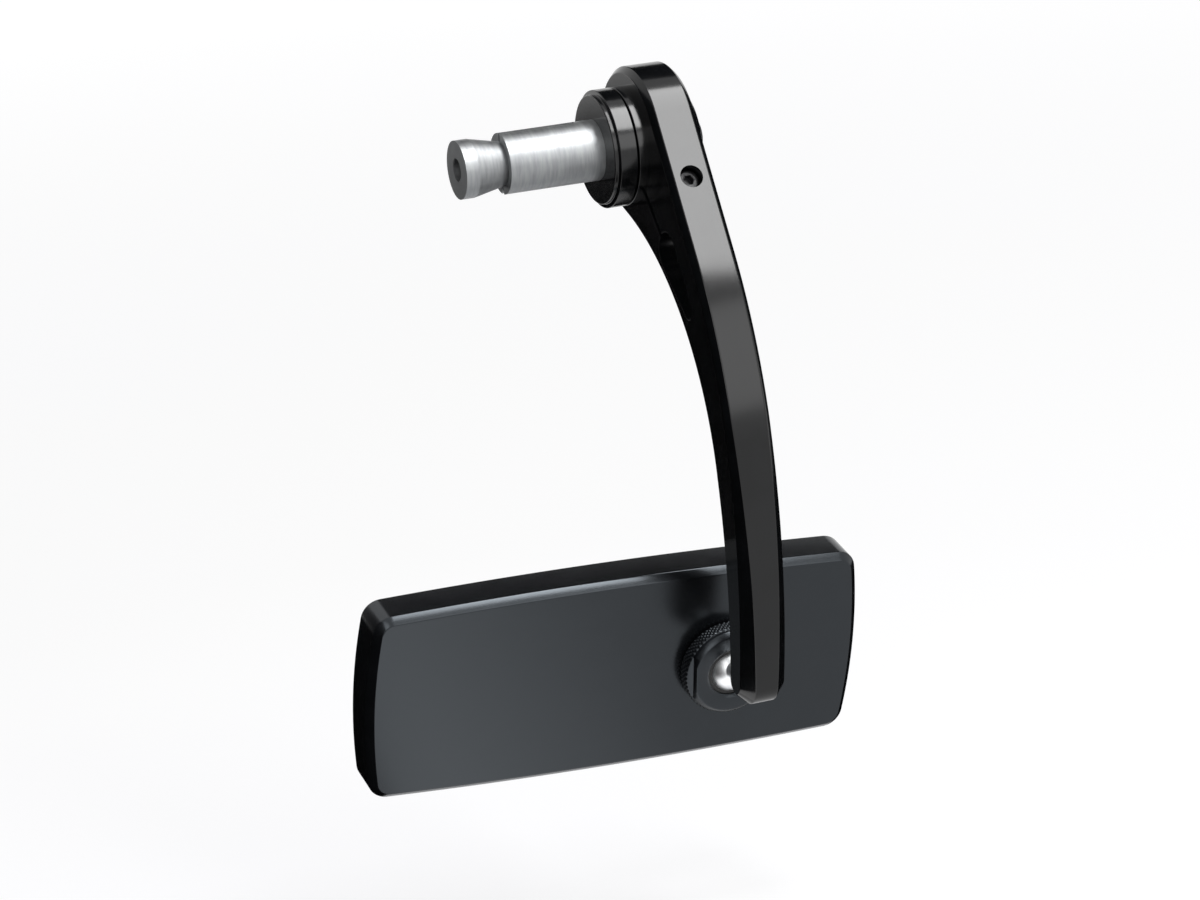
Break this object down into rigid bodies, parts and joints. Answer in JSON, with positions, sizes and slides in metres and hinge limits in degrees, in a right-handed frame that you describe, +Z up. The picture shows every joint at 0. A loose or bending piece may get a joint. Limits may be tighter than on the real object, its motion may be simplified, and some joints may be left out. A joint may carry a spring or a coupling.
{
  "type": "motorcycle bar-end mirror",
  "caption": "Bar-end mirror: a curved bevelled arm clamps on a spigot fixed in a handlebar's end, and a slim rectangular mirror head turns on a ball joint behind the arm's tip.",
  "frame": {"origin": "centre of the collar face that seats on the handlebar's end, on the handlebar's axis", "axes": "+X outward along the handlebar's axis, +Y rearward towards the rider, +Z up"},
  "size_m": [0.1382, 0.0794, 0.1826],
  "materials": {
    "bar_end_collar": "black anodised, satin turned",
    "retaining_washer": "black anodised, satin turned",
    "centre_bolt": "black oxide steel",
    "expander_sleeve": "plain turned",
    "expander_wedge": "plain turned",
    "arm": "black anodised, satin milled",
    "pinch_screw": "stainless steel",
    "ball_stud": "polished",
    "ball_ring": "black nylon",
    "ball_cup": "black nylon",
    "socket_base": "black anodised",
    "socket_nut": "black anodised, knurled",
    "head_housing": "black anodised, satin milled",
    "glass_pad": "foam adhesive",
    "mirror_glass": "silvered, faintly blue",
    "socket_screws": "zinc plated"
  },
  "bodies": {
    "bar_end": {"bar_end_collar": "bar_end_collar", "retaining_washer": "retaining_washer", "centre_bolt": "centre_bolt", "expander_sleeve": "expander_sleeve", "expander_wedge": "expander_wedge"},
    "arm": {"arm": "arm", "pinch_screw": "pinch_screw", "ball_stud": "ball_stud"},
    "tilt_liner": {"ball_cup": "ball_cup"},
    "pan_liner": {"ball_ring": "ball_ring"},
    "head": {"head_housing": "head_housing", "socket_base": "socket_base", "socket_screws": "socket_screws", "glass_pad": "glass_pad", "mirror_glass": "mirror_glass"},
    "nut": {"socket_nut": "socket_nut"}
  },
  "joints": [
    {"name": "arm_swing", "type": "hinge", "parent": "bar_end", "child": "arm", "pos_m": [0.01565, 0, 0], "axis": [1, 0, 0], "continuous": true},
    {"name": "head_tilt", "type": "hinge", "parent": "arm", "child": "tilt_liner", "pos_m": [0.01565, -0.03007, -0.13634], "axis": [0.999, 0.0097, -0.0443], "range_deg": [-12, 12]},
    {"name": "head_pan", "type": "hinge", "parent": "tilt_liner", "child": "pan_liner", "pos_m": [0.01565, -0.03007, -0.13634], "axis": [0.0454, -0.2125, 0.9761], "range_deg": [-10, 10]},
    {"name": "head_roll", "type": "hinge", "parent": "pan_liner", "child": "head", "pos_m": [0.01565, -0.03007, -0.13634], "axis": [0, -0.9771, -0.2128], "range_deg": [-20, 20]},
    {"name": "socket_nut_turn", "type": "hinge", "parent": "head", "child": "nut", "pos_m": [0.01565, -0.03007, -0.13634], "axis": [0, -0.9771, -0.2128], "range_deg": [0, 90]}
  ]
}
